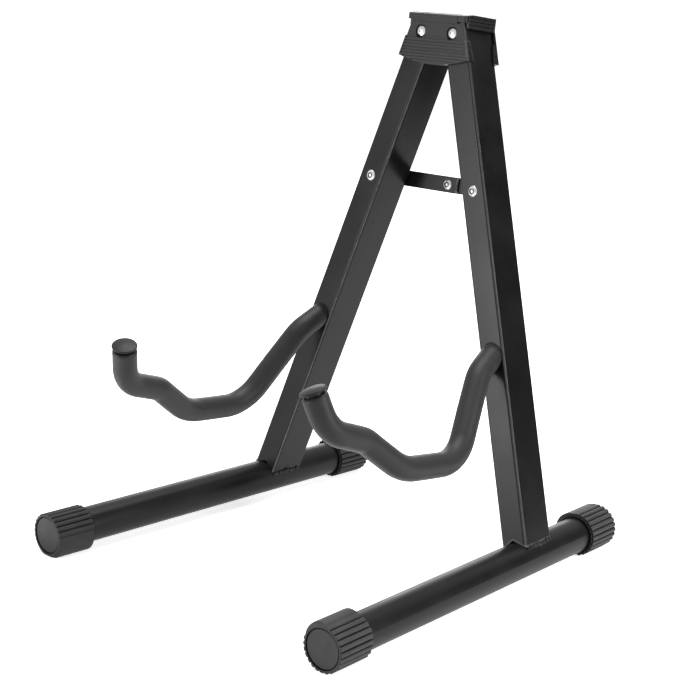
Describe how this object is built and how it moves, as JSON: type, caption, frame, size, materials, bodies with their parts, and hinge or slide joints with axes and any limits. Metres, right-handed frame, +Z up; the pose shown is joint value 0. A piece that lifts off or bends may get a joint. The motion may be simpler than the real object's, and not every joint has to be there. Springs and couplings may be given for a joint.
{
  "type": "folding guitar stand",
  "caption": "Black A-frame floor stand that folds sideways, with a moulded hinge head, round foot tubes with ribbed rubber caps, a folding strip brace and foam covered cradle arms.",
  "frame": {"origin": "on the floor, in the middle of the box round the open stand", "axes": "+Z up; -Y to the front, where the cradle arms reach; +X to the right as seen from the front"},
  "size_m": [0.294, 0.3038, 0.3734],
  "materials": {
    "frame_steel": "black powder coat, satin",
    "strip_steel": "black paint on flat strip, satin",
    "rod_steel": "black, hidden under foam",
    "rivet_steel": "bright zinc plated",
    "head_plastic": "black moulded plastic with fine ribs",
    "plug_plastic": "black moulded plastic",
    "cap_rubber": "charcoal ribbed rubber",
    "foam": "charcoal closed cell foam sleeve, matte"
  },
  "bodies": {
    "head": {"hinge_head": "head_plastic", "left_hinge_rivet": "rivet_steel", "right_hinge_rivet": "rivet_steel"},
    "left_leg": {"left_leg_tube": "frame_steel", "left_hinge_sleeve": "rivet_steel", "left_foot_tube": "frame_steel", "left_foot_weld": "frame_steel", "left_front_cap": "cap_rubber", "left_rear_cap": "cap_rubber", "left_arm_rod": "rod_steel", "left_arm_foam": "foam", "left_arm_plug": "plug_plastic", "left_brace_rivet": "rivet_steel"},
    "right_leg": {"right_leg_tube": "frame_steel", "right_hinge_sleeve": "rivet_steel", "right_foot_tube": "frame_steel", "right_foot_weld": "frame_steel", "right_front_cap": "cap_rubber", "right_rear_cap": "cap_rubber", "right_arm_rod": "rod_steel", "right_arm_foam": "foam", "right_arm_plug": "plug_plastic", "right_brace_rivet": "rivet_steel", "right_brace_spacer": "plug_plastic"},
    "left_strip": {"left_brace_strip": "strip_steel", "middle_rivet_front": "rivet_steel"},
    "right_strip": {"right_brace_strip": "strip_steel", "middle_rivet_rear": "rivet_steel"}
  },
  "joints": [
    {"name": "left_leg_hinge", "type": "hinge", "parent": "head", "child": "left_leg", "pos_m": [-0.014, 0.10815, 0.35833], "axis": [0, -0.9914, 0.1305], "range_deg": [0, 17]},
    {"name": "right_leg_hinge", "type": "hinge", "parent": "head", "child": "right_leg", "pos_m": [0.014, 0.10815, 0.35833], "axis": [0, -0.9914, 0.1305], "range_deg": [-17, 0]},
    {"name": "left_strip_hinge", "type": "hinge", "parent": "left_leg", "child": "left_strip", "pos_m": [-0.04708, 0.09441, 0.25401], "axis": [0, -0.9914, 0.1305], "range_deg": [0, 54.6]},
    {"name": "right_strip_hinge", "type": "hinge", "parent": "right_leg", "child": "right_strip", "pos_m": [0.04708, 0.09441, 0.25401], "axis": [0, -0.9914, 0.1305], "range_deg": [-54.6, 0]}
  ],
  "couplings": [
    {"joint": "right_leg_hinge", "follows": "left_leg_hinge", "ratio": -1},
    {"joint": "left_strip_hinge", "follows": "left_leg_hinge", "ratio": 3.2113},
    {"joint": "right_strip_hinge", "follows": "left_leg_hinge", "ratio": -3.2113}
  ]
}
